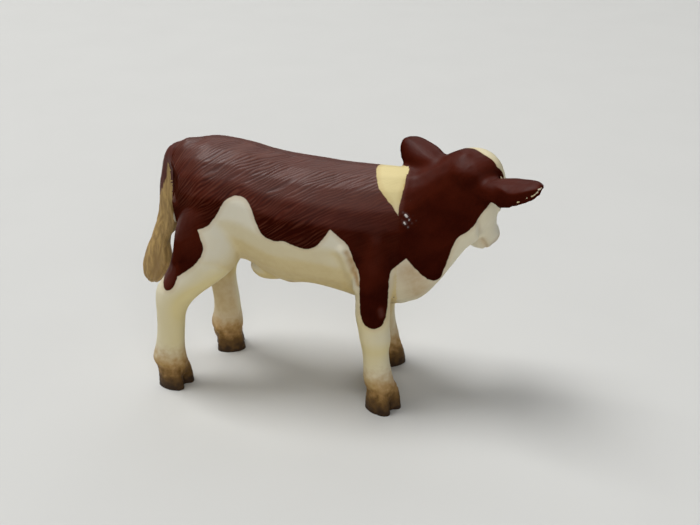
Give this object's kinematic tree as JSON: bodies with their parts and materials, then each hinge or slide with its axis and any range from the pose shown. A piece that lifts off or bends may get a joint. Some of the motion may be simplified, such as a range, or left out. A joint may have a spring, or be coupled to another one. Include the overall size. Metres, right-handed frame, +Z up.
{
  "type": "toy farm animal figure",
  "caption": "Small standing toy calf of painted moulded plastic with its head turned to its left, bonded from a trunk, head, ears, tail and legs.",
  "frame": {"origin": "middle of the base of the figure's box, on the ground under the belly", "axes": "+X to the front of the body, +Y to the calf's left, +Z up"},
  "size_m": [0.075, 0.0234, 0.0496],
  "materials": {
    "brown_paint": "solid PVC with satin red-brown paint",
    "cream_paint": "solid PVC with satin cream paint",
    "tan_paint": "solid PVC with satin tan paint"
  },
  "bodies": {
    "root": {"trunk": "brown_paint", "head_and_neck": "brown_paint", "right_ear": "brown_paint", "left_ear": "brown_paint", "tail": "tan_paint", "right_foreleg": "cream_paint", "left_foreleg": "cream_paint", "right_hindleg": "cream_paint", "left_hindleg": "cream_paint"}
  },
  "joints": []
}
